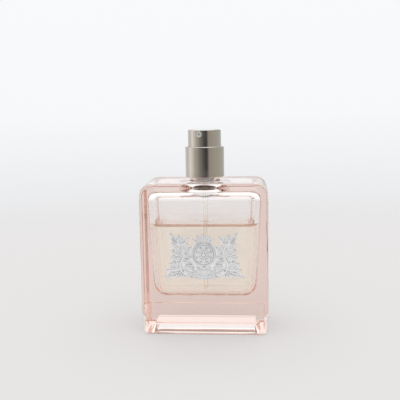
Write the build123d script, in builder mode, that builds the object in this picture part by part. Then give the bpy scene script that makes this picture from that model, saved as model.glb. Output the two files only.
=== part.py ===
from build123d import *
import os
from math import cos, radians, sin, sqrt

# A rectangular perfume bottle of thick glass with a crimped fine-mist pump.
# Millimetres. Z = 0 is the table, the pump's axis is X = Y = 0, and the bottle's front faces -Y.

os.makedirs("parts", exist_ok=True)

tolerance = 0.01  # for picking an edge by its place

# ---- Bottle, outside ----
bottle_width = 56.6
bottle_depth = 32.0
bottle_height = 68.0
shoulder_radius = 5.3  # the two top corners, seen from the front
edge_radius = 1.8  # every other long edge
foot_height = 8.6  # the foot is a plinth, set in a little all round
foot_inset = 0.8
foot_edge_radius = 1.4
ledge_radius = 0.3
push_up_margin = 2.6  # the hollow under the base leaves a bearing rim this wide
push_up_depth = 3.6
push_up_radius = 3.0
push_up_slope = 30.0  # degrees

# ---- Bottle, inside ----
floor_thickness = 16.6
roof_thickness = 3.9
side_wall_at_roof = 2.6
side_wall_at_floor = 5.4
front_wall_at_roof = 3.6
front_wall_at_floor = 4.2
cavity_corner_radius = 6.5
cavity_floor_radius = 5.8
cavity_roof_radius = 4.0
funnel_radius = 11.6  # the roof rises to the neck bore in a round dome
funnel_height = 2.8
fill_height = 31.6  # perfume above the cavity floor
liquid_clearance = 0.1

# ---- Neck ----
neck_height = 8.0
neck_sink = 2.0  # the neck's solid starts this far down in the shoulder
neck_root_radius = 0.9
neck_bore_clearance = 0.7  # round the pump housing
neck_wall = 1.7
bead_overhang = 0.85
bead_height = 3.6
bead_edge_radius = 0.5

# ---- Crimp ferrule, gasket and dress ring ----
ferrule_wall = 0.35
crimp_clearance = 0.03
crimp_lip_height = 0.9
gasket_thickness = 0.6
gasket_clearance = 0.2  # round the pump housing
flange_thickness = 0.8
collar_height = 13.8
collar_gap = 1.6  # between the glass shoulder and the dress ring
collar_wall = 0.4
collar_rim_radius = 0.35
sleeve_clearance = 0.02
liner_wall = 0.48  # round the ferrule
liner_guide_wall = 0.63  # round the button
liner_ledge_thickness = 0.5
liner_top_drop = 0.5  # the liner stops this far under the ring's top wall

# ---- Button ----
button_rise = 7.5  # the part of the button that shows above the dress ring
button_overlap = 0.9  # the part of it that stays inside the ring at rest
button_wall = 0.4
button_edge_radius = 0.45
button_ring_gap = 0.25
button_stroke = 3.6
press_clearance = 0.2  # left under the button's boss when it is pressed
core_clearance = 0.02
core_skirt_wall = 0.8
core_skirt_depth = 3.8
core_skirt_rise = 0.4  # the skirt ends this far above the shell's lower edge
core_boss_radius = 2.9
socket_depth = 3.4
socket_clearance = 0.04
channel_radius = 0.5

# ---- Nozzle ----
nozzle_drop = 1.95  # below the button's top
nozzle_turn = 16.0  # degrees from straight ahead, towards -X
nozzle_window_radius = 1.4
insert_radius = 1.05
insert_length = 2.4
insert_recess = 0.15  # behind the button's outer wall
insert_bore_radius = 0.55
insert_front_wall = 0.5
insert_dish_radius = 0.5
insert_dish_depth = 0.2
insert_dish_slope = 45.0  # degrees
orifice_radius = 0.15

# ---- Pump ----
chamber_radius = 3.2
housing_wall = 1.0
housing_floor_thickness = 0.8
chamber_depth = 11.2  # from the housing's top to its floor
housing_rise = 1.1  # the barrel stands this far above its flange
tail_radius = 2.0
tail_length = 4.0
running_clearance = 0.05
still_clearance = 0.02
turret_plate = 0.8
turret_wall = 0.5
seal_thickness = 0.7
stem_radius = 1.7
stem_bore_radius = 0.8
stem_flange_radius = 2.5
stem_flange_thickness = 0.6
piston_height = 2.4
piston_lift = 0.4
piston_hub_radius = 1.75
piston_groove_radius = 2.6
piston_groove_depth = 1.0
piston_waist = 0.25
poppet_radius = 1.1
poppet_pin_radius = 0.75
poppet_pin_length = 2.0
poppet_flange_radius = 2.5
poppet_flange_thickness = 0.7
seat_ring_thickness = 0.7
seat_cage_radius = 1.7
seat_cage_wall = 0.35
seat_slot_width = 0.9
return_wire_radius = 0.2
return_spring_radius = 2.4
return_spring_turns = 3.75
light_wire_radius = 0.12
light_spring_radius = 2.15
light_spring_turns = 2.5
ball_radius = 0.8
ball_lift = 0.3
inlet_radius = 0.55
seat_cone_depth = 0.5

# ---- Dip tube ----
tube_radius = 1.05
tube_bore_radius = 0.65
tube_socket_depth = 2.4
tube_floor_gap = 1.2

# ---- Emblem on the front face ----
emblem_width = 37.4
emblem_height = 22.3
emblem_centre_height = 35.4
emblem_plate = 0.25
emblem_relief = 0.2
medallion_radius = 5.2
medallion_rim = 0.8
petal_count = 6
petal_radius = 0.7
petal_ring_radius = 1.9

# ---- Heights that several pieces share ----
cavity_roof = bottle_height - roof_thickness
neck_top = bottle_height + neck_height
flange_base = neck_top + gasket_thickness
flange_top = flange_base + flange_thickness
housing_top = flange_top + housing_rise
chamber_floor = housing_top - chamber_depth
tail_bottom = chamber_floor - tail_length
turret_top = housing_top + turret_plate
ferrule_dome_top = turret_top + ferrule_wall + still_clearance
ferrule_shoulder_top = flange_top + ferrule_wall + still_clearance
collar_bottom = bottle_height + collar_gap
collar_top = collar_bottom + collar_height
button_top = collar_top + button_rise
button_bottom = collar_top - button_overlap
boss_bottom = ferrule_dome_top + button_stroke + press_clearance
stem_top = boss_bottom + socket_depth
seal_bottom = housing_top - seal_thickness
stem_flange_top = seal_bottom - running_clearance
stem_bottom = stem_flange_top - stem_flange_thickness
piston_top = stem_bottom - piston_lift
piston_bottom = piston_top - piston_height
poppet_flange_top = piston_bottom - still_clearance
poppet_bottom = poppet_flange_top - poppet_flange_thickness
seat_ring_top = chamber_floor + seat_ring_thickness
ball_height = chamber_floor - seat_cone_depth - inlet_radius + ball_radius * sqrt(2) + still_clearance
cage_roof = ball_height + ball_radius + ball_lift + running_clearance
nozzle_height = button_top - nozzle_drop
tube_top = tail_bottom + tube_socket_depth
tube_bottom = floor_thickness + tube_floor_gap

# ---- Radii that several pieces share, from the pump outwards ----
housing_radius = chamber_radius + housing_wall
gasket_bore_radius = housing_radius + gasket_clearance
neck_bore_radius = housing_radius + neck_bore_clearance
neck_radius = neck_bore_radius + neck_wall
bead_radius = neck_radius + bead_overhang
gasket_radius = bead_radius - crimp_clearance
ferrule_radius = bead_radius + crimp_clearance + ferrule_wall
turret_radius = housing_radius + still_clearance + turret_wall
dome_radius = turret_radius + still_clearance + ferrule_wall
liner_radius = ferrule_radius + sleeve_clearance + liner_wall
collar_inner_radius = liner_radius + sleeve_clearance
collar_radius = collar_inner_radius + collar_wall
button_radius = liner_radius - liner_guide_wall - button_ring_gap
core_radius = button_radius - button_wall - core_clearance
insert_front = button_radius - insert_recess

nozzle_direction = (-sin(radians(nozzle_turn)), -cos(radians(nozzle_turn)), 0)
nozzle_plane = Plane(origin=(0, 0, nozzle_height), z_dir=nozzle_direction)
emblem_plane = Plane(origin=(0, -bottle_depth / 2, emblem_centre_height), x_dir=(1, 0, 0), z_dir=(0, -1, 0))


def half_section(*points):
    """A closed half section through the pump's axis, from (radius, height) points."""
    with BuildSketch(Plane.XZ) as section:
        with BuildLine():
            Polyline(*points, close=True)
        make_face()
    return section.sketch


def ring_section(inner, outer, bottom, top):
    """A half section of a plain ring."""
    return half_section((inner, bottom), (outer, bottom), (outer, top), (inner, top))


def cavity_form(clearance):
    """The room inside the glass, smaller by a clearance all round."""
    floor_width = bottle_width - 2 * side_wall_at_floor - 2 * clearance
    floor_depth = bottle_depth - 2 * front_wall_at_floor - 2 * clearance
    roof_width = bottle_width - 2 * side_wall_at_roof - 2 * clearance
    roof_depth = bottle_depth - 2 * front_wall_at_roof - 2 * clearance
    corner = cavity_corner_radius - clearance
    with BuildPart() as form:
        with BuildSketch(Plane.XY.offset(floor_thickness + clearance)):
            RectangleRounded(floor_width, floor_depth, corner)
        with BuildSketch(Plane.XY.offset(cavity_roof - clearance)):
            RectangleRounded(roof_width, roof_depth, corner)
        loft(ruled=True)
        fillet(form.edges().group_by(Axis.Z)[0], cavity_floor_radius - clearance)
        fillet(form.edges().group_by(Axis.Z)[-1], cavity_roof_radius - clearance)
    return form.part


def coil_spring(coil_radius, wire_radius, turns, bottom, top):
    """A coil spring about the pump's axis that fills the height between two seats."""
    length = top - bottom - 2 * wire_radius - 2 * still_clearance
    start = bottom + wire_radius + still_clearance
    with BuildPart() as spring:
        with BuildLine(Plane.XY.offset(start)) as path:
            Helix(pitch=length / turns, height=length, radius=coil_radius)
        with BuildSketch(path.line ^ 0):
            Circle(wire_radius)
        sweep(path=path.line, is_frenet=True)
    return spring.part


# ---- Glass bottle ----
with BuildPart() as glass_bottle:
    with BuildSketch(Plane.XY.offset(foot_height)):
        Rectangle(bottle_width, bottle_depth)
    extrude(amount=bottle_height - foot_height)
    fillet(edges().filter_by(Axis.Y).group_by(Axis.Z)[-1], shoulder_radius)
    for end in (0, -1):
        outline = faces().sort_by(Axis.Y)[end].edges()
        fillet(outline.filter_by(lambda e: e.center().Z > foot_height + edge_radius), edge_radius)

    with BuildSketch():
        RectangleRounded(bottle_width - 2 * foot_inset, bottle_depth - 2 * foot_inset, edge_radius)
    extrude(amount=foot_height)
    fillet(edges().group_by(Axis.Z)[0], foot_edge_radius)
    ledge = edges().filter_by_position(Axis.Z, foot_height - tolerance, foot_height + tolerance)
    fillet(ledge, ledge_radius)

    with BuildSketch(Plane.XZ):
        with Locations((0, bottle_height + (neck_height - neck_sink) / 2)):
            Rectangle(2 * neck_radius, neck_height + neck_sink)
        with Locations((0, neck_top - bead_height / 2)):
            Rectangle(2 * bead_radius, bead_height)
        bead_corners = vertices().filter_by(lambda v: abs(v.X) > neck_radius + crimp_clearance)
        fillet(bead_corners, bead_edge_radius)
        split(bisect_by=Plane.YZ, keep=Keep.TOP)
    revolve(axis=Axis.Z)
    neck_root = edges().filter_by(GeomType.CIRCLE).filter_by(
        lambda e: abs(e.center().Z - bottle_height) < tolerance and abs(e.radius - neck_radius) < tolerance
    )
    fillet(neck_root, neck_root_radius)

    add(cavity_form(0), mode=Mode.SUBTRACT)
    with BuildSketch(Plane.XZ):
        with BuildLine():
            Polyline(
                (neck_bore_radius, cavity_roof + funnel_height),
                (neck_bore_radius, neck_top),
                (0, neck_top),
                (0, cavity_roof - funnel_height),
                (funnel_radius, cavity_roof - funnel_height),
                (funnel_radius, cavity_roof),
            )
            Bezier(
                (funnel_radius, cavity_roof),
                (0.8 * funnel_radius, cavity_roof + 0.7 * funnel_height),
                (0.6 * funnel_radius, cavity_roof + 0.8 * funnel_height),
                (neck_bore_radius, cavity_roof + funnel_height),
            )
        make_face()
    revolve(axis=Axis.Z, mode=Mode.SUBTRACT)

    with BuildSketch():
        RectangleRounded(
            bottle_width - 2 * foot_inset - 2 * push_up_margin,
            bottle_depth - 2 * foot_inset - 2 * push_up_margin,
            push_up_radius,
        )
    extrude(amount=push_up_depth, taper=push_up_slope, mode=Mode.SUBTRACT)
glass_bottle.part.label = "glass_bottle"
export_step(glass_bottle.part, "parts/glass_bottle.step")

# ---- Perfume ----
with BuildPart() as perfume_liquid:
    add(cavity_form(liquid_clearance))
    split(bisect_by=Plane.XY.offset(floor_thickness + fill_height), keep=Keep.BOTTOM)
    with BuildSketch(Plane.XY.offset(tube_bottom - running_clearance)):
        Circle(tube_radius + running_clearance)
    extrude(amount=cavity_roof - tube_bottom, mode=Mode.SUBTRACT)
perfume_liquid.part.label = "perfume_liquid"
export_step(perfume_liquid.part, "parts/perfume_liquid.step")

# ---- Emblem ----
# A generic plant ornament: a round medallion between two leafy side pieces, under a leaf fan.
emblem_half = emblem_width / 2
emblem_rise = emblem_height / 2
with BuildPart() as front_emblem:
    with BuildSketch(emblem_plane):
        with BuildLine():
            fan = ThreePointArc(
                (0, emblem_rise),
                (0.24 * emblem_half, 0.89 * emblem_rise),
                (0.34 * emblem_half, 0.58 * emblem_rise),
            )
            notch = Line(fan @ 1, (0.37 * emblem_half, 0.58 * emblem_rise))
            shoulder = ThreePointArc(
                notch @ 1,
                (0.43 * emblem_half, 0.80 * emblem_rise),
                (0.77 * emblem_half, 0.98 * emblem_rise),
            )
            flank = ThreePointArc(
                shoulder @ 1,
                (0.74 * emblem_half, 0.26 * emblem_rise),
                (emblem_half, -0.86 * emblem_rise),
            )
            ThreePointArc(
                flank @ 1,
                (0.50 * emblem_half, -0.82 * emblem_rise),
                (0, -emblem_rise),
            )
            mirror(about=Plane.YZ)
        make_face()
    extrude(amount=emblem_plate)
    with BuildSketch(emblem_plane.offset(emblem_plate)):
        Circle(medallion_radius)
        Circle(medallion_radius - medallion_rim, mode=Mode.SUBTRACT)
        with PolarLocations(petal_ring_radius, petal_count):
            Circle(petal_radius)
    extrude(amount=emblem_relief)
front_emblem.part.label = "front_emblem"
export_step(front_emblem.part, "parts/front_emblem.step")

# ---- Neck gasket ----
with BuildPart() as neck_gasket:
    revolve(ring_section(gasket_bore_radius, gasket_radius, neck_top, flange_base), axis=Axis.Z)
neck_gasket.part.label = "neck_gasket"
export_step(neck_gasket.part, "parts/neck_gasket.step")

# ---- Crimp ferrule: a cup over the flange, turned in under the glass bead ----
bead_bottom = neck_top - bead_height
ferrule_inner_radius = ferrule_radius - ferrule_wall
dome_inner_radius = dome_radius - ferrule_wall
ferrule_hole_radius = stem_flange_radius + still_clearance
crimp_lip_radius = neck_radius + crimp_clearance
with BuildPart() as crimp_ferrule:
    section = half_section(
        (ferrule_hole_radius, ferrule_dome_top),
        (dome_radius, ferrule_dome_top),
        (dome_radius, ferrule_shoulder_top),
        (ferrule_radius, ferrule_shoulder_top),
        (ferrule_radius, bead_bottom - crimp_clearance),
        (crimp_lip_radius + ferrule_wall, bead_bottom - crimp_lip_height),
        (crimp_lip_radius, bead_bottom - crimp_lip_height + ferrule_wall),
        (ferrule_inner_radius, bead_bottom),
        (ferrule_inner_radius, ferrule_shoulder_top - ferrule_wall),
        (dome_inner_radius, ferrule_shoulder_top - ferrule_wall),
        (dome_inner_radius, ferrule_dome_top - ferrule_wall),
        (ferrule_hole_radius, ferrule_dome_top - ferrule_wall),
    )
    revolve(section, axis=Axis.Z)
crimp_ferrule.part.label = "crimp_ferrule"
export_step(crimp_ferrule.part, "parts/crimp_ferrule.step")

# ---- Collar liner: grips the ferrule below and guides the button above ----
liner_top = collar_top - collar_wall - liner_top_drop
liner_bottom = collar_bottom + collar_wall
ledge_bottom = ferrule_shoulder_top + still_clearance
ledge_top = ledge_bottom + liner_ledge_thickness
liner_guide_radius = button_radius + button_ring_gap
with BuildPart() as collar_liner:
    section = half_section(
        (ferrule_radius + sleeve_clearance, liner_bottom),
        (liner_radius, liner_bottom),
        (liner_radius, liner_top),
        (liner_guide_radius, liner_top),
        (liner_guide_radius, ledge_top),
        (dome_radius + button_ring_gap, ledge_top),
        (dome_radius + button_ring_gap, ledge_bottom),
        (ferrule_radius + sleeve_clearance, ledge_bottom),
    )
    revolve(section, axis=Axis.Z)
collar_liner.part.label = "collar_liner"
export_step(collar_liner.part, "parts/collar_liner.step")

# ---- Dress ring ----
with BuildPart() as collar_shell:
    with BuildSketch(Plane.XY.offset(collar_bottom)):
        Circle(collar_radius)
    extrude(amount=collar_height)
    rims = collar_shell.edges().filter_by(GeomType.CIRCLE)
    fillet(rims, collar_rim_radius)
    with BuildSketch(Plane.XY.offset(collar_bottom)):
        Circle(collar_inner_radius)
    extrude(amount=collar_height - collar_wall, mode=Mode.SUBTRACT)
    with BuildSketch(Plane.XY.offset(collar_bottom)):
        Circle(button_radius + button_ring_gap)
    extrude(amount=collar_height, mode=Mode.SUBTRACT)
collar_shell.part.label = "collar_shell"
export_step(collar_shell.part, "parts/collar_shell.step")

# ---- Button shell ----
button_height = button_top - button_bottom
with BuildPart() as actuator_shell:
    with BuildSketch(Plane.XY.offset(button_bottom)):
        Circle(button_radius)
    extrude(amount=button_height)
    fillet(edges().group_by(Axis.Z)[-1], button_edge_radius)
    with BuildSketch(Plane.XY.offset(button_bottom)):
        Circle(button_radius - button_wall)
    extrude(amount=button_height - button_wall, mode=Mode.SUBTRACT)
    with BuildSketch(nozzle_plane):
        Circle(nozzle_window_radius)
    extrude(amount=button_radius + button_wall, mode=Mode.SUBTRACT)
actuator_shell.part.label = "actuator_shell"
export_step(actuator_shell.part, "parts/actuator_shell.step")

# ---- Button core: stem socket, spray channel and nozzle pocket ----
core_top = button_top - button_wall - core_clearance
core_bottom = button_bottom + core_skirt_rise
core_roof = core_bottom + core_skirt_depth
with BuildPart() as actuator_core:
    section = half_section(
        (0, stem_top + still_clearance),
        (stem_radius + socket_clearance, stem_top + still_clearance),
        (stem_radius + socket_clearance, boss_bottom),
        (core_boss_radius, boss_bottom),
        (core_boss_radius, core_roof),
        (core_radius - core_skirt_wall, core_roof),
        (core_radius - core_skirt_wall, core_bottom),
        (core_radius, core_bottom),
        (core_radius, core_top),
        (0, core_top),
    )
    revolve(section, axis=Axis.Z)
    with BuildSketch(Plane.XY.offset(stem_top)):
        Circle(channel_radius)
    extrude(amount=nozzle_height - stem_top, mode=Mode.SUBTRACT)
    with BuildSketch(nozzle_plane.offset(-channel_radius)):
        Circle(channel_radius)
    extrude(amount=insert_front, mode=Mode.SUBTRACT)
    with BuildSketch(nozzle_plane.offset(insert_front - insert_length - still_clearance)):
        Circle(insert_radius + still_clearance)
    extrude(amount=button_radius, mode=Mode.SUBTRACT)
actuator_core.part.label = "actuator_core"
export_step(actuator_core.part, "parts/actuator_core.step")

# ---- Nozzle insert ----
with BuildPart() as nozzle_insert:
    with BuildSketch(nozzle_plane.offset(insert_front - insert_length)):
        Circle(insert_radius)
        Circle(orifice_radius, mode=Mode.SUBTRACT)
    extrude(amount=insert_length)
    with BuildSketch(nozzle_plane.offset(insert_front - insert_length)):
        Circle(insert_bore_radius)
    extrude(amount=insert_length - insert_front_wall, mode=Mode.SUBTRACT)
    with BuildSketch(nozzle_plane.offset(insert_front)):
        Circle(insert_dish_radius)
    extrude(amount=-insert_dish_depth, taper=insert_dish_slope, mode=Mode.SUBTRACT)
nozzle_insert.part.label = "nozzle_insert"
export_step(nozzle_insert.part, "parts/nozzle_insert.step")

# ---- Pump housing: flange, barrel and tail with the inlet seat and the tube socket ----
housing_floor = chamber_floor - housing_floor_thickness
with BuildPart() as pump_housing:
    section = half_section(
        (chamber_radius, housing_top),
        (housing_radius, housing_top),
        (housing_radius, flange_top),
        (gasket_radius, flange_top),
        (gasket_radius, flange_base),
        (housing_radius, flange_base),
        (housing_radius, housing_floor),
        (tail_radius, housing_floor - housing_radius + tail_radius),
        (tail_radius, tail_bottom),
        (tube_radius + still_clearance, tail_bottom),
        (tube_radius + still_clearance, tube_top + still_clearance),
        (inlet_radius, tube_top + still_clearance),
        (inlet_radius, chamber_floor - seat_cone_depth),
        (inlet_radius + seat_cone_depth, chamber_floor),
        (chamber_radius, chamber_floor),
    )
    revolve(section, axis=Axis.Z)
pump_housing.part.label = "pump_housing"
export_step(pump_housing.part, "parts/pump_housing.step")

# ---- Turret: closes the housing and keeps the stem in ----
turret_hole_radius = stem_radius + running_clearance
with BuildPart() as turret:
    section = half_section(
        (turret_hole_radius, housing_top),
        (housing_radius + still_clearance, housing_top),
        (housing_radius + still_clearance, flange_top),
        (turret_radius, flange_top),
        (turret_radius, turret_top),
        (turret_hole_radius, turret_top),
    )
    revolve(section, axis=Axis.Z)
turret.part.label = "turret"
export_step(turret.part, "parts/turret.step")

# ---- Stem seal ----
with BuildPart() as stem_seal:
    seal_radius = chamber_radius - still_clearance
    revolve(ring_section(turret_hole_radius, seal_radius, seal_bottom, housing_top), axis=Axis.Z)
stem_seal.part.label = "stem_seal"
export_step(stem_seal.part, "parts/stem_seal.step")

# ---- Stem ----
pin_socket_radius = poppet_pin_radius + still_clearance
pin_top = stem_bottom + poppet_pin_length
with BuildPart() as stem:
    section = half_section(
        (pin_socket_radius, stem_bottom),
        (stem_flange_radius, stem_bottom),
        (stem_flange_radius, stem_flange_top),
        (stem_radius, stem_flange_top),
        (stem_radius, stem_top),
        (stem_bore_radius, stem_top),
        (stem_bore_radius, pin_top),
        (pin_socket_radius, pin_top),
    )
    revolve(section, axis=Axis.Z)
stem.part.label = "stem"
export_step(stem.part, "parts/stem.step")

# ---- Poppet: the pin holds in the stem, and the flange is the piston's seat ----
with BuildPart() as poppet:
    section = half_section(
        (0, poppet_bottom),
        (poppet_flange_radius, poppet_bottom),
        (poppet_flange_radius, poppet_flange_top),
        (poppet_radius, poppet_flange_top),
        (poppet_radius, stem_bottom),
        (poppet_pin_radius, stem_bottom),
        (poppet_pin_radius, pin_top - still_clearance),
        (0, pin_top - still_clearance),
    )
    revolve(section, axis=Axis.Z)
poppet.part.label = "poppet"
export_step(poppet.part, "parts/poppet.step")

# ---- Piston: two sealing lips, and a groove on top for the small spring ----
piston_radius = chamber_radius - running_clearance
groove_floor = piston_top - piston_groove_depth
with BuildPart() as main_piston:
    section = half_section(
        (poppet_radius + running_clearance, piston_bottom),
        (piston_radius - piston_waist, piston_bottom),
        (piston_radius, piston_bottom + piston_waist),
        (piston_radius - piston_waist, piston_bottom + 2 * piston_waist),
        (piston_radius - piston_waist, piston_top - 2 * piston_waist),
        (piston_radius, piston_top - piston_waist),
        (piston_radius, piston_top),
        (piston_groove_radius, piston_top),
        (piston_groove_radius, groove_floor),
        (piston_hub_radius, groove_floor),
        (piston_hub_radius, piston_top),
        (poppet_radius + running_clearance, piston_top),
    )
    revolve(section, axis=Axis.Z)
main_piston.part.label = "main_piston"
export_step(main_piston.part, "parts/main_piston.step")

# ---- Spring seat: a ring on the chamber floor with a slotted cage over the ball ----
with BuildPart() as spring_seat:
    section = half_section(
        (seat_cage_radius - seat_cage_wall, chamber_floor),
        (chamber_radius - still_clearance, chamber_floor),
        (chamber_radius - still_clearance, seat_ring_top),
        (seat_cage_radius, seat_ring_top),
        (seat_cage_radius, cage_roof + seat_cage_wall),
        (0, cage_roof + seat_cage_wall),
        (0, cage_roof),
        (seat_cage_radius - seat_cage_wall, cage_roof),
    )
    revolve(section, axis=Axis.Z)
    with BuildSketch(Plane.XY.offset(seat_ring_top)):
        with PolarLocations(seat_cage_radius, 3):
            Rectangle(2 * seat_cage_radius, seat_slot_width)
        Circle(ball_radius / 2, mode=Mode.SUBTRACT)
    extrude(amount=cage_roof - seat_ring_top, mode=Mode.SUBTRACT)
spring_seat.part.label = "spring_seat"
export_step(spring_seat.part, "parts/spring_seat.step")

# ---- Springs ----
return_spring = coil_spring(
    return_spring_radius, return_wire_radius, return_spring_turns, seat_ring_top, poppet_bottom
)
return_spring.label = "return_spring"
export_step(return_spring, "parts/return_spring.step")

precompression_spring = coil_spring(
    light_spring_radius, light_wire_radius, light_spring_turns, groove_floor, stem_bottom
)
precompression_spring.label = "precompression_spring"
export_step(precompression_spring, "parts/precompression_spring.step")

# ---- Inlet ball: rests on the inlet's 45 degree cone ----
with BuildPart(Plane.XY.offset(ball_height)) as check_ball:
    Sphere(ball_radius)
check_ball.part.label = "check_ball"
export_step(check_ball.part, "parts/check_ball.step")

# ---- Dip tube ----
with BuildPart() as dip_tube:
    revolve(ring_section(tube_bore_radius, tube_radius, tube_bottom, tube_top), axis=Axis.Z)
dip_tube.part.label = "dip_tube"
export_step(dip_tube.part, "parts/dip_tube.step")
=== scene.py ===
from math import atan2, cos, exp, pi, radians, sin

import bmesh
import bpy
from mathutils import Matrix, Quaternion, Vector


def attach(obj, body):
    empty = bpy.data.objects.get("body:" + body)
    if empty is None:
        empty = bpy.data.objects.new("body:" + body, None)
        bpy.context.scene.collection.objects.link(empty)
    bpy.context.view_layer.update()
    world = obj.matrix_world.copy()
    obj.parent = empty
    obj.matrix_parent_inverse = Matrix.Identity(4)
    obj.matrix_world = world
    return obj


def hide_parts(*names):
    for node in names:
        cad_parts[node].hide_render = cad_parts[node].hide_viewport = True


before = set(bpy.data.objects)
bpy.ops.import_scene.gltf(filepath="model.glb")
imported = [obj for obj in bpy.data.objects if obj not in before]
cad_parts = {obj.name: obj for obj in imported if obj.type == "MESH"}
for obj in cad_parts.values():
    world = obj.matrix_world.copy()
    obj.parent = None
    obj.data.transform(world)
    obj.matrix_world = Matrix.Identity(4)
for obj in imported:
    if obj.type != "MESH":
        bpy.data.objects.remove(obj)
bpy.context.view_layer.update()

MM = 0.001

# Sizes in millimetres, from the glass and the pump.
BOTTLE_DEPTH = 32.0
LIQUID_LEVEL = 48.2
TUBE_RADIUS = 1.05
TUBE_BORE_RADIUS = 0.65
TUBE_BOTTOM = 17.8
TUBE_TOP = 65.7
LIQUID_CLEARANCE = 0.1

# How the perfume meets the glass and the tube, in millimetres.
WETTING = 0.1  # the perfume reaches this far into the glass, so no air film is left between them
MENISCUS_RISE = 1.9
MENISCUS_LENGTH = 1.3
MENISCUS_STEEPNESS = 1.4
TUBE_MENISCUS_RISE = 0.8
TUBE_MENISCUS_LENGTH = 0.55
LEVEL_TOLERANCE = 0.002
MERGE_DISTANCE = 0.0005

# The emblem, in millimetres: its middle above the table, and its medallion above that.
EMBLEM_CENTRE = 35.4
EMBLEM_INSET = 0.03
MEDALLION_LIFT = 1.5
PLATE_THICKNESS = 0.12
STRIP_BOTTOM = 0.05  # inside the plate, so that no two faces share a plane

# Edges sharper than these, in degrees, stay sharp.
PERFUME_CREASE = 24
CAST_CREASE = 50

# The table, in metres, and the tinted patch of light under the foot, in millimetres.
TABLE_RADIUS = 2.0
FADE_START = 0.18
FADE_END = 0.48
PATCH_HALF_WIDTH = 27.0
PATCH_HALF_DEPTH = 14.8
PATCH_EDGE = 1.0

# The camera: place in millimetres, direction, roll in degrees and lens in millimetres.
CAMERA_PLACE = (18.57, -281.4, 99.8)
CAMERA_LOOK = (-0.0738, 0.9869, -0.1441)
CAMERA_ROLL = -0.91
CAMERA_LENS = 55.98


def linear(code):
    """A colour for a shader, from its sRGB hex code."""
    channels = [int(code[i:i + 2], 16) / 255 for i in (0, 2, 4)]
    return tuple(
        c / 12.92 if c <= 0.04045 else ((c + 0.055) / 1.055) ** 2.4 for c in channels
    ) + (1.0,)


def per_mm(size):
    """The scale that makes a pattern's features this many millimetres across."""
    return 1 / (size * MM)


def add_node(tree, kind, inputs=None, **settings):
    """Add a node. Each input is given a value, an output, or a node for its first output."""
    node = tree.nodes.new("ShaderNode" + kind)
    for name, value in settings.items():
        setattr(node, name, value)
    for socket, value in (inputs or {}).items():
        if isinstance(value, bpy.types.Node):
            value = value.outputs[0]
        if isinstance(value, bpy.types.NodeSocket):
            tree.links.new(value, node.inputs[socket])
        else:
            node.inputs[socket].default_value = value
    return node


def new_material(name):
    """An empty material, its node tree, and the coordinates that its patterns lie on."""
    material = bpy.data.materials.new(name)
    material.use_nodes = True
    tree = material.node_tree
    tree.nodes.clear()
    return material, tree, add_node(tree, "TexCoord").outputs["Object"]


# ---- Materials ----

# Nearly all of a noise pattern's values lie between these two.
NOISE_SPAN = {"From Min": 0.3, "From Max": 0.7}


def moulded_pink_glass():
    """Soda glass pressed in a mould: clear, salmon where it is thick, with a faint ripple."""
    material, tree, where = new_material("moulded pink soda glass")
    # The mould's ripple, about 9 mm from crest to crest.
    ripple = add_node(tree, "TexNoise", {"Vector": where, "Scale": per_mm(9.0), "Detail": 1.0})
    surface = add_node(tree, "BsdfPrincipled", {
        "Base Color": linear("FFFFFF"),
        "Roughness": 0.0,
        "IOR": 1.52,
        "Transmission Weight": 1.0,
        "Normal": add_node(tree, "Bump", {
            "Height": ripple, "Distance": 0.02 * MM, "Strength": 1.0,
        }),
    })
    volume = add_node(tree, "VolumeAbsorption", {"Color": linear("E49865"), "Density": 13.0})
    add_node(tree, "OutputMaterial", {"Surface": surface, "Volume": volume})
    return material


def peach_perfume():
    """Alcohol with a peach dye: thin and clear, so the colour deepens only with depth."""
    material, tree, where = new_material("peach dyed alcohol")
    # Slow swirls, about 14 mm across.
    swirl = add_node(tree, "TexNoise", {"Vector": where, "Scale": per_mm(14.0), "Detail": 1.0})
    surface = add_node(tree, "BsdfPrincipled", {
        "Base Color": linear("FFFFFF"),
        "Roughness": 0.0,
        "IOR": 1.36,
        "Transmission Weight": 1.0,
        "Normal": add_node(tree, "Bump", {"Height": swirl, "Distance": 0.01 * MM, "Strength": 1.0}),
    })
    volume = add_node(tree, "VolumeAbsorption", {"Color": linear("F4DA8A"), "Density": 10.0})
    add_node(tree, "OutputMaterial", {"Surface": surface, "Volume": volume})
    return material


def polished_metal():
    """Deep drawn aluminium, polished and lacquered: a mirror with hairlines and faint smears."""
    material, tree, where = new_material("polished lacquered aluminium")
    # Hairlines 1.2 mm long and under 0.1 mm high, as the polishing wheel leaves them.
    around = add_node(tree, "Mapping", {"Vector": where, "Scale": (1, 1, 14)})
    hairlines = add_node(tree, "TexNoise", {
        "Vector": around, "Scale": per_mm(1.2), "Detail": 4.0, "Roughness": 0.7,
    })
    # Smears from fingers, about 5 mm across.
    smears = add_node(tree, "TexNoise", {"Vector": where, "Scale": per_mm(5.0), "Detail": 3.0})
    tone = add_node(tree, "Mix", {
        0: smears, 6: linear("F1EEEA"), 7: linear("E8E4DF"),
    }, data_type="RGBA")
    surface = add_node(tree, "BsdfPrincipled", {
        "Base Color": tone.outputs[2],
        "Metallic": 1.0,
        "Roughness": add_node(tree, "MapRange", {
            "Value": smears, **NOISE_SPAN, "To Min": 0.09, "To Max": 0.16,
        }),
        "Normal": add_node(tree, "Bump", {
            "Height": hairlines, "Distance": 0.002 * MM, "Strength": 1.0,
        }),
        "Coat Weight": 0.35,
        "Coat Roughness": 0.06,
    })
    add_node(tree, "OutputMaterial", {"Surface": surface})
    return material


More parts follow.
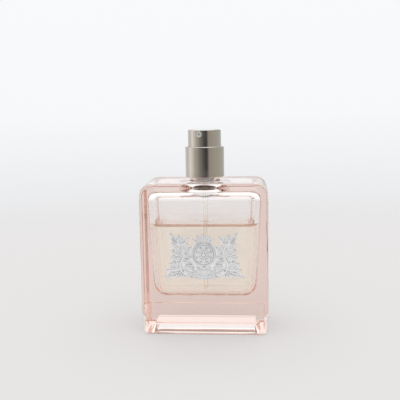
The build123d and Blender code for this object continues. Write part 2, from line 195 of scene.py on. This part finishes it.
def cast_silver():
    """Zinc cast and silver plated: satin, with painted shade that darkens its hollows."""
    material, tree, where = new_material("cast satin silver plate")
    # The casting's grain is about 0.35 mm, and the tarnish comes in patches of 2.5 mm.
    grain = add_node(tree, "TexNoise", {
        "Vector": where, "Scale": per_mm(0.35), "Detail": 3.0, "Roughness": 0.6,
    })
    tarnish = add_node(tree, "TexNoise", {"Vector": where, "Scale": per_mm(2.5), "Detail": 3.0})
    # Painted shade: the occlusion darkens the base colour in the hollows, where shade falls.
    painted_hollow_shade = add_node(tree, "AmbientOcclusion", {"Distance": 0.6 * MM}, samples=8, only_local=True)
    # The tone: the painted shade in the hollows, times the random tarnish patches.
    shade = add_node(tree, "Math", {
        0: add_node(tree, "MapRange", {
            "Value": painted_hollow_shade.outputs["AO"], "From Min": 0.5, "From Max": 0.92,
        }),
        1: add_node(tree, "MapRange", {
            "Value": tarnish, **NOISE_SPAN, "To Min": 0.8, "To Max": 1.0,
        }),
    }, operation="MULTIPLY")
    tone = add_node(tree, "Mix", {
        0: shade, 6: linear("BCBDC1"), 7: linear("FFFFFF"),
    }, data_type="RGBA")
    surface = add_node(tree, "BsdfPrincipled", {
        "Base Color": tone.outputs[2],
        "Metallic": 0.5,
        "Roughness": add_node(tree, "MapRange", {
            "Value": grain, **NOISE_SPAN, "To Min": 0.28, "To Max": 0.42,
        }),
        "Normal": add_node(tree, "Bump", {"Height": grain, "Distance": 0.02 * MM, "Strength": 1.0}),
    })
    add_node(tree, "OutputMaterial", {"Surface": surface})
    return material


def drawn_ferrule():
    """Thin aluminium drawn and rolled over the neck: satin, with rings from the rolling."""
    material, tree, where = new_material("drawn aluminium")
    # Rings under 0.1 mm high, that run on for 0.8 mm and more.
    around = add_node(tree, "Mapping", {"Vector": where, "Scale": (1, 1, 10)})
    rings = add_node(tree, "TexNoise", {"Vector": around, "Scale": per_mm(0.8), "Detail": 3.0})
    tone = add_node(tree, "Mix", {
        0: rings, 6: linear("D8D6D0"), 7: linear("C6C4BE"),
    }, data_type="RGBA")
    surface = add_node(tree, "BsdfPrincipled", {
        "Base Color": tone.outputs[2],
        "Metallic": 1.0,
        "Roughness": add_node(tree, "MapRange", {
            "Value": rings, **NOISE_SPAN, "To Min": 0.24, "To Max": 0.36,
        }),
        "Normal": add_node(tree, "Bump", {"Height": rings, "Distance": 0.01 * MM, "Strength": 1.0}),
    })
    add_node(tree, "OutputMaterial", {"Surface": surface})
    return material


def moulded_plastic(name, dark, light, shine, translucent=0.0):
    """Injection moulded plastic: even colour with slight flow marks and a fine spark finish."""
    material, tree, where = new_material(name)
    # Flow marks about 4 mm wide, and the 0.12 mm grain of a spark eroded mould.
    flow = add_node(tree, "TexNoise", {"Vector": where, "Scale": per_mm(4.0), "Detail": 2.0})
    spark = add_node(tree, "TexNoise", {"Vector": where, "Scale": per_mm(0.12), "Detail": 2.0})
    tone = add_node(tree, "Mix", {0: flow, 6: linear(dark), 7: linear(light)}, data_type="RGBA")
    surface = add_node(tree, "BsdfPrincipled", {
        "Base Color": tone.outputs[2],
        "Roughness": add_node(tree, "MapRange", {
            "Value": flow, **NOISE_SPAN, "To Min": shine, "To Max": shine + 0.12,
        }),
        "IOR": 1.5,
        "Subsurface Weight": translucent,
        "Subsurface Radius": (MM, MM, MM),
        "Normal": add_node(tree, "Bump", {
            "Height": spark, "Distance": 0.004 * MM, "Strength": 1.0,
        }),
    })
    add_node(tree, "OutputMaterial", {"Surface": surface})
    return material


def acetal_with_painted_shade():
    """Moulded acetal of the insert: pale grey, with painted shade that makes its dish dark."""
    material, tree, where = new_material("moulded acetal with painted shade in its dish")
    # The 0.12 mm grain of a spark eroded mould.
    spark = add_node(tree, "TexNoise", {"Vector": where, "Scale": per_mm(0.12), "Detail": 2.0})
    # Painted shade: the occlusion darkens the dish to near black, where shade falls.
    painted_hollow_shade = add_node(tree, "AmbientOcclusion", {"Distance": 0.6 * MM}, samples=8, only_local=True)
    # Where the painted shade is lightest, the acetal keeps its pale grey.
    unshaded = add_node(tree, "MapRange", {
        "Value": painted_hollow_shade.outputs["AO"], "From Min": 0.55, "From Max": 1.0,
    })
    tone = add_node(tree, "Mix", {
        0: unshaded, 6: linear("2E2B28"), 7: linear("BCBAB7"),
    }, data_type="RGBA")
    surface = add_node(tree, "BsdfPrincipled", {
        "Base Color": tone.outputs[2],
        "Roughness": add_node(tree, "MapRange", {
            "Value": spark, **NOISE_SPAN, "To Min": 0.28, "To Max": 0.4,
        }),
        "IOR": 1.5,
        "Normal": add_node(tree, "Bump", {
            "Height": spark, "Distance": 0.004 * MM, "Strength": 1.0,
        }),
    })
    add_node(tree, "OutputMaterial", {"Surface": surface})
    return material


def clear_polyethylene():
    """Extruded polyethylene: clear with a slight milkiness and fine lines along the draw."""
    material, tree, where = new_material("extruded clear polyethylene")
    # Die lines 0.25 mm wide and twenty times as long.
    drawn = add_node(tree, "Mapping", {"Vector": where, "Scale": (1, 1, 0.05)})
    lines = add_node(tree, "TexNoise", {"Vector": drawn, "Scale": per_mm(0.25), "Detail": 2.0})
    surface = add_node(tree, "BsdfPrincipled", {
        "Base Color": linear("FFFEFC"),
        "Roughness": add_node(tree, "MapRange", {
            "Value": lines, **NOISE_SPAN, "To Min": 0.0, "To Max": 0.04,
        }),
        "IOR": 1.5,
        "Transmission Weight": 1.0,
        "Normal": add_node(tree, "Bump", {
            "Height": lines, "Distance": 0.003 * MM, "Strength": 1.0,
        }),
    })
    add_node(tree, "OutputMaterial", {"Surface": surface})
    return material


def spring_steel():
    """Drawn stainless wire: bright with fine die marks."""
    material, tree, where = new_material("drawn stainless wire")
    # Die marks 0.15 mm across.
    marks = add_node(tree, "TexNoise", {"Vector": where, "Scale": per_mm(0.15), "Detail": 3.0})
    tone = add_node(tree, "Mix", {
        0: marks, 6: linear("C9C8C6"), 7: linear("B4B3B1"),
    }, data_type="RGBA")
    surface = add_node(tree, "BsdfPrincipled", {
        "Base Color": tone.outputs[2],
        "Metallic": 1.0,
        "Roughness": add_node(tree, "MapRange", {
            "Value": marks, **NOISE_SPAN, "To Min": 0.2, "To Max": 0.32,
        }),
        "Normal": add_node(tree, "Bump", {
            "Height": marks, "Distance": 0.004 * MM, "Strength": 1.0,
        }),
    })
    add_node(tree, "OutputMaterial", {"Surface": surface})
    return material


def lit_table():
    """A shooting table of white acrylic that glows as if lit from below, and fades out far off."""
    material, tree, where = new_material("matt white acrylic table")
    # A faint mottle, 1.5 mm across.
    grain = add_node(tree, "TexNoise", {"Vector": where, "Scale": per_mm(1.5), "Detail": 3.0})
    tone = add_node(tree, "Mix", {
        0: grain, 6: linear("9E9D9D"), 7: linear("A09F9F"),
    }, data_type="RGBA")
    acrylic = add_node(tree, "BsdfDiffuse", {"Color": tone.outputs[2]})
    # Under the foot the glow is pinker, for the light that the glass has tinted.
    place = add_node(tree, "SeparateXYZ", {0: where})
    inside = []
    for axis, half in (("X", PATCH_HALF_WIDTH), ("Y", PATCH_HALF_DEPTH)):
        aside = add_node(tree, "Math", {0: place.outputs[axis]}, operation="ABSOLUTE")
        inside.append(add_node(tree, "MapRange", {
            "Value": aside, "From Min": (half - PATCH_EDGE) * MM, "From Max": half * MM,
            "To Min": 1.0, "To Max": 0.0,
        }))
    under = add_node(tree, "Math", {0: inside[0], 1: inside[1]}, operation="MULTIPLY")
    tint = add_node(tree, "Mix", {
        0: under, 6: linear("FFFBFA"), 7: linear("EDBFB0"),
    }, data_type="RGBA")
    glow = add_node(tree, "Emission", {"Color": tint.outputs[2], "Strength": 0.40})
    lit = add_node(tree, "AddShader", {0: acrylic, 1: glow})
    distance = add_node(tree, "VectorMath", {0: where}, operation="LENGTH").outputs["Value"]
    far = add_node(tree, "MapRange", {
        "Value": distance, "From Min": FADE_START, "From Max": FADE_END,
    })
    seen = add_node(tree, "MixShader", {0: far, 1: lit, 2: add_node(tree, "BsdfTransparent")})
    add_node(tree, "OutputMaterial", {"Surface": seen})
    return material


PERFUME = peach_perfume()
SILVER = cast_silver()
FINISHES = {
    "tinted_glass": moulded_pink_glass(),
    "perfume": PERFUME,
    "bright_metal": polished_metal(),
    "emblem_metal": SILVER,
    "ferrule_metal": drawn_ferrule(),
    "white_plastic": moulded_plastic("moulded white polypropylene", "E9E7E2", "F3F1EC", 0.32, 0.15),
    "grey_plastic": moulded_plastic("moulded grey acetal", "C4C2BF", "D2D0CC", 0.25),
    "clear_plastic": clear_polyethylene(),
    "gasket_rubber": moulded_plastic(
        "moulded white gasket polyethylene", "E9E7E2", "F3F1EC", 0.4, 0.2),
    "spring_steel": spring_steel(),
}
MILKY = moulded_plastic("moulded natural polypropylene", "EFEDE8", "F7F6F2", 0.3, 0.3)
# These nodes are finished differently from the rest of their slot.
OWN_FINISHES = {"nozzle_insert": acetal_with_painted_shade(), "pump_housing": MILKY, "main_piston": MILKY}
for name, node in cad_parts.items():
    for slot in node.material_slots:
        slot.material = OWN_FINISHES.get(name) or FINISHES[slot.material.name]


# ---- Making pieces ----

def smooth_with_creases(bm, degrees):
    """Shade round, except across edges sharper than this."""
    for face in bm.faces:
        face.smooth = True
    for edge in bm.edges:
        edge.smooth = not edge.is_manifold or edge.calc_face_angle() < radians(degrees)


def make_piece(name, bm, material, body, place=None):
    """A finished piece, made in millimetres and set in metres with its place in its mesh."""
    if place:
        bmesh.ops.transform(bm, matrix=place, verts=bm.verts)
    bmesh.ops.scale(bm, vec=(MM, MM, MM), verts=bm.verts)
    mesh = bpy.data.meshes.new(name)
    bm.to_mesh(mesh)
    bm.free()
    mesh.materials.append(material)
    piece = bpy.data.objects.new(name, mesh)
    bpy.context.scene.collection.objects.link(piece)
    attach(piece, body)
    return piece


# ---- Perfume ----

def perfume_pool():
    """The perfume as the glass holds it: wet against the walls, and drawn up them in a meniscus."""
    bm = bmesh.new()
    bm.from_mesh(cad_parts["perfume_liquid"].data)
    bmesh.ops.scale(bm, vec=(1 / MM, 1 / MM, 1 / MM), verts=bm.verts)
    bmesh.ops.remove_doubles(bm, verts=bm.verts, dist=2 * MERGE_DISTANCE)

    # Only the outer skin is kept: the flat top and the tube's hole are made again.
    def near_axis(vert):
        return vert.co.xy.length < 3

    def on_surface(vert):
        return abs(vert.co.z - LIQUID_LEVEL) < LEVEL_TOLERANCE

    tops = [f for f in bm.faces if all(on_surface(v) for v in f.verts)]
    hole = [
        f for f in bm.faces
        if all(near_axis(v) and v.co.z > TUBE_BOTTOM - 0.3 for v in f.verts)
    ]
    bmesh.ops.delete(bm, geom=list(set(tops + hole)), context="FACES")
    bm.normal_update()
    moves = {}
    for vert in bm.verts:
        push = vert.normal.copy()
        if on_surface(vert):
            push.z = 0
            push.normalize()
        moves[vert] = push * (LIQUID_CLEARANCE + WETTING)
    for vert, move in moves.items():
        vert.co += move

    # The meniscus: rings that run in from the wall and fall to the level.
    rim = [e for e in bm.edges if e.is_boundary]
    steps = [0.0, 0.04, 0.10, 0.18, 0.30, 0.46, 0.70, 1.05, 1.6, 2.4, 3.6]

    def surface_height(distance):
        return LIQUID_LEVEL + MENISCUS_RISE * exp(-distance / MENISCUS_LENGTH * MENISCUS_STEEPNESS)

    wall = {v: v.co.copy() for e in rim for v in e.verts}
    inward = {}
    for vert in wall:
        out = sum((f.normal for f in vert.link_faces), Vector())
        out.z = 0
        inward[vert] = -out.normalized()
    for vert in wall:
        vert.co.z = surface_height(0)
    loop = rim
    source = {v: v for v in wall}
    for step in steps[1:]:
        grown = bmesh.ops.extrude_edge_only(bm, edges=loop)["geom"]
        loop = [e for e in grown if isinstance(e, bmesh.types.BMEdge) and e.is_boundary]
        following = {}
        for vert in grown:
            if isinstance(vert, bmesh.types.BMVert):
                near = [e.other_vert(vert) for e in vert.link_edges if e.other_vert(vert) in source]
                following[vert] = source[min(near, key=lambda v: (v.co - vert.co).length)]
        for vert, root in following.items():
            flat = wall[root] + inward[root] * step
            vert.co = Vector((flat.x, flat.y, surface_height(step)))
        source = following
    for vert in source:
        vert.co.z = LIQUID_LEVEL

    # The middle of the surface, with the tube's wetted ring and the moat that its wall stands in.
    tube = bmesh.new()
    outer = TUBE_RADIUS - 0.05
    inner = TUBE_BORE_RADIUS + 0.05
    profile = [(outer + 4.0, LIQUID_LEVEL)]
    for out in (2.4, 1.5, 0.9, 0.5, 0.25, 0.1, 0):
        rise = TUBE_MENISCUS_RISE * exp(-out / TUBE_MENISCUS_LENGTH)
        profile.append((outer + out, LIQUID_LEVEL + rise))
    profile += [(outer, TUBE_BOTTOM + 0.05), (inner, TUBE_BOTTOM + 0.05), (inner, TUBE_TOP - 0.4)]
    profile += [(inner - 0.2, TUBE_TOP - 0.6), (0.0, TUBE_TOP - 0.7)]
    verts = [tube.verts.new((r, 0, z)) for r, z in profile]
    edges = [tube.edges.new(pair) for pair in zip(verts, verts[1:])]
    bmesh.ops.spin(tube, geom=verts + edges, axis=(0, 0, 1), cent=(0, 0, 0), angle=2 * pi,
                   steps=48, use_merge=True)
    bmesh.ops.remove_doubles(tube, verts=tube.verts, dist=MERGE_DISTANCE)
    mesh = bpy.data.meshes.new("tube_moat")
    tube.to_mesh(mesh)
    tube.free()
    bm.from_mesh(mesh)
    bpy.data.meshes.remove(mesh)
    edges = [e for e in bm.edges if e.is_boundary]
    bmesh.ops.triangle_fill(bm, use_beauty=True, edges=edges, normal=(0, 0, 1))
    bmesh.ops.remove_doubles(bm, verts=bm.verts, dist=MERGE_DISTANCE)
    bmesh.ops.recalc_face_normals(bm, faces=bm.faces)
    smooth_with_creases(bm, PERFUME_CREASE)
    return bm


perfume = make_piece("perfume_pool", perfume_pool(), PERFUME, "bottle")
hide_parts("perfume_liquid")


# ---- Emblem ----

def strip(bm, spine, half_width, height, along=16, across=8):
    """A closed strip laid along a spine, as wide and as high as the two rules say at each place."""
    grid = bmesh.ops.create_grid(bm, x_segments=along, y_segments=across, size=1)["verts"]
    faces = list({f for v in grid for f in v.link_faces})
    top = bmesh.ops.extrude_face_region(bm, geom=faces)["geom"]
    top = {v for v in top if isinstance(v, bmesh.types.BMVert)}
    for vert in set(grid) | top:
        reach = (vert.co.x + 1) / 2
        side = vert.co.y
        centre, heading = spine(reach)
        place = centre + Vector((-sin(heading), cos(heading))) * half_width(reach) * side
        vert.co = (place.x, place.y, height(reach, side) if vert in top else STRIP_BOTTOM)


def leaf(bm, foot, tip, width, bend=0.0, lift=0.1, rise=0.46, teeth=4):
    """One cast leaf: crowned, grooved down its midrib and veined, with a lobed edge."""
    foot = Vector(foot)
    chord = Vector(tip) - foot
    start = atan2(chord.y, chord.x) - radians(bend) / 2

    def spine(reach):
        swing = start + radians(bend) * reach / 2
        place = foot + Vector((cos(swing), sin(swing))) * chord.length * reach
        return place, start + radians(bend) * reach

    def half_width(reach):
        lobe = 0.78 + 0.3 * abs(sin(pi * teeth * reach))
        return width / 2 * (sin(pi * reach ** 0.8) ** 0.7 + 0.06) * lobe

    def height(reach, side):
        crown = (1 - side * side) ** 0.4 * (0.45 + 0.55 * sin(pi * reach))
        groove = 0.6 * exp(-(side / 0.15) ** 2)
        vein = 0.5 * (0.5 + 0.5 * sin(2 * pi * (teeth * reach - 1.1 * abs(side)))) ** 2
        return lift + rise * crown * (1 - groove - vein * (abs(side) > 0.25))

    strip(bm, spine, half_width, height)


def vine(bm, points, width, lift=0.2, rise=0.4, thin=0.35):
    """A half-round stem through the points, thinner towards its end."""
    points = [Vector(p) for p in points]
    points = [2 * points[0] - points[1]] + points + [2 * points[-1] - points[-2]]
    spans = len(points) - 3

    def spine(reach):
        index = min(int(reach * spans), spans - 1)
        t = reach * spans - index
        p0, p1, p2, p3 = points[index:index + 4]
        place = ((2 * p1) + (p2 - p0) * t + (2 * p0 - 5 * p1 + 4 * p2 - p3) * t * t
                 + (3 * p1 - p0 - 3 * p2 + p3) * t ** 3) / 2
        run = ((p2 - p0) + (2 * p0 - 5 * p1 + 4 * p2 - p3) * 2 * t
               + (3 * p1 - p0 - 3 * p2 + p3) * 3 * t * t) / 2
        return place, atan2(run.y, run.x)

    def height(reach, side):
        return lift + rise * (1 - side * side) ** 0.5 * (1 - thin * reach)

    strip(bm, spine, lambda reach: width / 2 * (1 - thin * reach), height, 10 * spans, 6)


def berry(bm, centre, radius, lift):
    """A cast berry or bead, a little flattened."""
    ball = bmesh.ops.create_icosphere(bm, subdivisions=2, radius=radius)["verts"]
    bmesh.ops.scale(bm, vec=(1, 1, 0.8), verts=ball)
    bmesh.ops.translate(bm, vec=(centre[0], centre[1], lift), verts=ball)


def botanical_emblem():
    """A cast ornament of leaves, stems and berries round a medallion, made lying flat."""
    bm = bmesh.new()
    # The plate behind the ornament.
    outline = [
        (0, -9.6), (3.5, -9.1), (8.0, -8.8), (16.4, -8.6), (16.8, -8.0), (15.4, -4.4), (14.2, -0.8),
        (13.6, 3.0), (13.4, 7.0), (13.5, 10.0), (12.2, 9.9), (9.8, 9.5), (7.0, 8.8), (7.2, 7.2),
        (8.4, 6.4), (8.0, 5.4), (6.6, 4.8), (5.0, 5.4), (3.2, 6.8), (2.8, 7.6), (3.2, 9.6), (0, 10.2),
    ]
    ring = outline + [(-x, y) for x, y in reversed(outline) if x]
    plate = bm.faces.new([bm.verts.new((x, y, 0)) for x, y in ring])
    bm.normal_update()
    if plate.normal.z < 0:
        plate.normal_flip()
    raised = bmesh.ops.extrude_face_region(bm, geom=[plate])["geom"]
    raised = [v for v in raised if isinstance(v, bmesh.types.BMVert)]
    bmesh.ops.translate(bm, vec=(0, 0, PLATE_THICKNESS), verts=raised)

    # Foot, tip, width, bend and lift of each leaf on the right; the left is its mirror image.
    sprays = [
        ((10.4, 3.6), (14.5, 11.3), 3.4, 26, 0.10),
        ((9.9, 4.4), (10.9, 10.4), 2.9, 8, 0.14),
        ((9.7, 5.0), (6.4, 9.5), 2.7, 34, 0.10),
        ((10.2, 2.6), (14.1, 7.2), 2.6, 18, 0.20),
        ((10.0, 1.2), (14.4, 3.6), 2.6, 26, 0.14),
        ((9.9, -0.6), (14.9, 0.6), 2.7, 24, 0.18),
        ((9.8, -2.4), (15.6, -2.4), 2.7, 22, 0.14),
        ((9.6, -4.2), (16.6, -5.2), 2.8, 20, 0.18),
        ((9.0, -6.0), (17.6, -8.4), 3.0, 18, 0.12),
        ((8.8, 2.4), (5.4, 4.9), 2.1, 44, 0.16),
        ((8.9, 0.8), (5.6, 0.2), 2.2, 48, 0.18),
        ((8.7, -1.6), (5.4, -2.8), 2.2, 44, 0.14),
        ((8.2, -4.0), (4.2, -4.6), 2.2, 40, 0.18),
        ((10.9, 6.2), (8.2, 7.4), 1.4, 50, 0.34),
        ((11.6, 6.6), (13.2, 9.0), 1.3, 30, 0.36),
    ]
    buds = [
        (11.9, 5.0), (11.6, 1.2), (12.2, -1.2), (12.6, -3.8), (7.2, 3.0), (7.4, -0.9), (6.9, -3.2),
        (9.0, -7.9), (10.1, -7.4), (11.1, -8.1), (12.2, -7.6), (13.2, -8.2), (10.6, -6.5), (11.8, -6.6),
        (14.3, -7.9), (13.2, -6.9),
    ]
    for side in (1, -1):
        for foot, tip, width, bend, lift in sprays:
            leaf(bm, (side * foot[0], foot[1]), (side * tip[0], tip[1]), width, side * bend, lift)
        stem = [(6.0, -8.2), (9.4, -6.6), (10.4, -2.8), (8.7, 1.0), (9.5, 5.0), (12.8, 8.8)]
        vine(bm, [(side * x, y) for x, y in stem], 1.1, 0.3, 0.36)
        curl = [(9.3, 3.2), (7.6, 4.2), (7.4, 5.8), (8.6, 6.0)]
        vine(bm, [(side * x, y) for x, y in curl], 0.8, 0.3, 0.3)
        for x, y in buds:
            berry(bm, (side * x, y), 0.46, 0.42)

    # The palmette on top.
    for index in (-2, 2, -1, 1, 0):
        angle = radians(90 - 23 * index)
        length = 5.5 - 0.35 * abs(index)
        foot = (0.7 * index, 5.4)
        tip = (foot[0] + length * cos(angle), foot[1] + length * sin(angle))
        leaf(bm, foot, tip, 2.1, -12 * index, 0.24 - 0.05 * abs(index), 0.42, 3)
    for index in range(-3, 4):
        berry(bm, (1.0 * index, 7.2 - 0.08 * index * index), 0.38, 0.5)

    # The swag under the medallion: a fan of leaves, and a band with a raised edge.
    for index in (-3, 3, -2, 2, -1, 1, 0):
        angle = radians(90 - 27 * index)
        foot = (0.5 * index, -8.2)
        tip = (foot[0] + 5.2 * cos(angle), foot[1] + 4.8 * sin(angle))
        leaf(bm, foot, tip, 2.0, -10 * index, 0.22 - 0.03 * abs(index), 0.4, 3)
    band = [(-8.9, -6.0), (-5.6, -7.6), (0, -8.7), (5.6, -7.6), (8.9, -6.0)]
    vine(bm, band, 1.9, 0.26, 0.16, 0.0)
    for shift in (-0.85, 0.85):
        vine(bm, [(x, y + shift) for x, y in band], 0.42, 0.3, 0.3, 0.0)
    for index in range(-4, 5):
        berry(bm, (1.7 * index, -8.75 + 0.085 * index * index), 0.36, 0.5)

    # The medallion: a dished round field in a double rim, set with beads and a rosette.
    rim = [
        (0, 0.16), (3.75, 0.16), (3.85, 0.5), (4.0, 0.58), (4.15, 0.5), (4.25, 0.3), (4.6, 0.3),
        (4.7, 0.52), (4.85, 0.6), (5.0, 0.5), (5.05, 0.3), (5.05, 0.0), (0, 0.0),
    ]
    before = set(bm.verts)
    verts = [bm.verts.new((r, 0, h)) for r, h in rim]
    edges = [bm.edges.new(pair) for pair in zip(verts, verts[1:])]
    bmesh.ops.spin(bm, geom=verts + edges, axis=(0, 0, 1), cent=(0, 0, 0), angle=2 * pi,
                   steps=64, use_merge=True)
    turned = [v for v in bm.verts if v not in before]
    bmesh.ops.remove_doubles(bm, verts=turned, dist=2 * MERGE_DISTANCE)
    turned = [v for v in turned if v.is_valid]
    bmesh.ops.translate(bm, vec=(0, MEDALLION_LIFT, 0.2), verts=turned)
    middle = Vector((0, MEDALLION_LIFT))
    for index in range(8):
        angle = radians(45 * index + 22.5)
        outward = Vector((cos(angle), sin(angle)))
        foot = middle + outward * 0.5
        tip = middle + outward * 3.55
        leaf(bm, foot, tip, 2.0, 0, 0.3, 0.46, 2)
    berry(bm, (0, MEDALLION_LIFT), 0.8, 0.6)
    for index in range(28):
        angle = 2 * pi * index / 28
        berry(bm, (4.43 * cos(angle), MEDALLION_LIFT + 4.43 * sin(angle)), 0.24, 0.6)

    bmesh.ops.recalc_face_normals(bm, faces=bm.faces)
    smooth_with_creases(bm, CAST_CREASE)
    return bm


# The emblem lies on the front face, a hair into the glass so that no gap shows behind it.
EMBLEM_PLACE = Matrix((
    (1, 0, 0, 0),
    (0, 0, -1, -BOTTLE_DEPTH / 2 + EMBLEM_INSET),
    (0, 1, 0, EMBLEM_CENTRE),
    (0, 0, 0, 1),
))
emblem = make_piece(
    "botanical_emblem", botanical_emblem(), SILVER, "bottle", EMBLEM_PLACE)
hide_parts("front_emblem")


# ---- Floor, light and camera ----

bm = bmesh.new()
bmesh.ops.create_circle(bm, cap_ends=True, segments=96, radius=TABLE_RADIUS)
mesh = bpy.data.meshes.new("table_floor")
bm.to_mesh(mesh)
bm.free()
mesh.materials.append(lit_table())
floor = bpy.data.objects.new("table_floor", mesh)
floor.location.z = -0.1 * MM
bpy.context.scene.collection.objects.link(floor)

# The walls of the tent: degrees round from the front, and how bright it is there.
WALLS = [
    (-180, (0.64, 0.63, 0.61)),
    (-156, (0.66, 0.65, 0.62)),
    (-119, (0.54, 0.50, 0.48)),
    (-92, (0.80, 0.76, 0.71)),
    (-72, (0.60, 0.56, 0.50)),
    (-57, (0.39, 0.37, 0.31)),
    (-44, (0.35, 0.31, 0.27)),
    (-30, (0.225, 0.20, 0.185)),
    (-12, (0.125, 0.115, 0.105)),
    (2, (0.06, 0.053, 0.05)),
    (14, (0.038, 0.033, 0.03)),
    (22, (0.10, 0.085, 0.075)),
    (30, (0.30, 0.265, 0.23)),
    (60, (0.345, 0.31, 0.26)),
    (95, (0.365, 0.355, 0.30)),
    (135, (0.42, 0.415, 0.385)),
    (180, (0.64, 0.63, 0.61)),
]
# The pale sweep behind: how far up its span, and how bright it is there.
SWEEP = [
    (0.0, (0.74, 0.735, 0.73)),
    (0.42, (0.80, 0.80, 0.81)),
    (0.55, (0.86, 0.875, 0.89)),
    (0.66, (0.925, 0.94, 0.955)),
    (1.0, (0.94, 0.955, 0.97)),
]
CEILING = (1.25, 1.25, 1.25, 1)


def set_stops(ramp, stops):
    """Give a colour ramp node its stops."""
    elements = ramp.color_ramp.elements
    while len(elements) < len(stops):
        elements.new(0.5)
    for element, (place, colour) in zip(elements, sorted(stops)):
        element.position = place
        element.color = tuple(colour) + (1.0,)


def studio_light():
    """A pale tent, not one consistent room: what a ray sees of it depends on the ray's kind."""
    world = bpy.data.worlds.new("studio tent")
    bpy.context.scene.world = world
    world.use_nodes = True
    tree = world.node_tree
    tree.nodes.clear()
    where = add_node(tree, "TexCoord").outputs["Generated"]
    parts = add_node(tree, "SeparateXYZ", {0: where})
    height = parts.outputs["Z"]
    front = add_node(tree, "Math", {0: parts.outputs["Y"], 1: -1.0}, operation="MULTIPLY")
    angle = add_node(tree, "Math", {0: parts.outputs["X"], 1: front}, operation="ARCTAN2")
    turn = add_node(tree, "MapRange", {"Value": angle, "From Min": -pi, "From Max": pi})
    walls = add_node(tree, "ValToRGB", {"Fac": turn})
    set_stops(walls, [((degrees + 180) / 360, colour) for degrees, colour in WALLS])
    rise = add_node(tree, "MapRange", {"Value": height, "From Min": -0.5, "From Max": 0.25})
    sweep = add_node(tree, "ValToRGB", {"Fac": rise})
    set_stops(sweep, SWEEP)

    # Polished metal sees the grey walls, a lamp overhead and the bright sweep straight behind.
    smooth = {"interpolation_type": "SMOOTHSTEP"}
    turned_away = add_node(tree, "Math", {0: angle}, operation="ABSOLUTE")
    behind = add_node(tree, "Math", {
        0: add_node(tree, "MapRange", {
            "Value": turned_away, "From Min": radians(140), "From Max": radians(168),
        }, **smooth),
        1: add_node(tree, "MapRange", {
            "Value": height, "From Min": -0.02, "From Max": 0.08,
        }, **smooth),
    }, operation="MULTIPLY")
    overhead = add_node(tree, "MapRange", {
        "Value": height, "From Min": 0.62, "From Max": 0.9,
    }, **smooth)
    room = add_node(tree, "Mix", {0: behind, 6: walls, 7: sweep}, data_type="RGBA").outputs[2]
    room = add_node(tree, "Mix", {0: overhead, 6: room, 7: CEILING}, data_type="RGBA").outputs[2]

    # The table, the ornament and the glass are lit evenly from the sweep and the ceiling.
    above = add_node(tree, "MapRange", {
        "Value": height, "From Min": 0.12, "From Max": 0.55,
    }, **smooth)
    soft = add_node(tree, "Mix", {0: above, 6: sweep, 7: CEILING}, data_type="RGBA").outputs[2]

    # Only reflections on the outside of things see the room, and the camera sees the bare sweep.
    path = add_node(tree, "LightPath")
    outside = add_node(tree, "Math", {
        0: path.outputs["Transmission Depth"], 1: 0.5,
    }, operation="LESS_THAN")
    mirrored = add_node(tree, "Math", {
        0: path.outputs["Is Glossy Ray"], 1: outside,
    }, operation="MULTIPLY")
    seen = add_node(tree, "Mix", {0: mirrored, 6: soft, 7: room}, data_type="RGBA").outputs[2]
    seen = add_node(tree, "Mix", {
        0: path.outputs["Is Camera Ray"], 6: seen, 7: sweep,
    }, data_type="RGBA").outputs[2]
    light = add_node(tree, "Background", {"Color": seen, "Strength": 1.0})
    add_node(tree, "OutputWorld", {"Surface": light})


studio_light()

camera = bpy.data.objects.new("camera", bpy.data.cameras.new("camera"))
camera.data.sensor_width = 36.0
camera.data.lens = CAMERA_LENS
camera.data.clip_start = 0.01
facing = Vector(CAMERA_LOOK).to_track_quat("-Z", "Y") @ Quaternion((0, 0, 1), radians(CAMERA_ROLL))
camera.matrix_world = Matrix.Translation(Vector(CAMERA_PLACE) * MM) @ facing.to_matrix().to_4x4()
bpy.context.scene.collection.objects.link(camera)
bpy.context.scene.camera = camera

scene = bpy.context.scene
scene.view_settings.view_transform = "Standard"
scene.cycles.use_denoising = True
scene.cycles.max_bounces = 28
scene.cycles.transmission_bounces = 28
scene.cycles.glossy_bounces = 12
scene.cycles.transparent_max_bounces = 16
scene.cycles.caustics_refractive = True
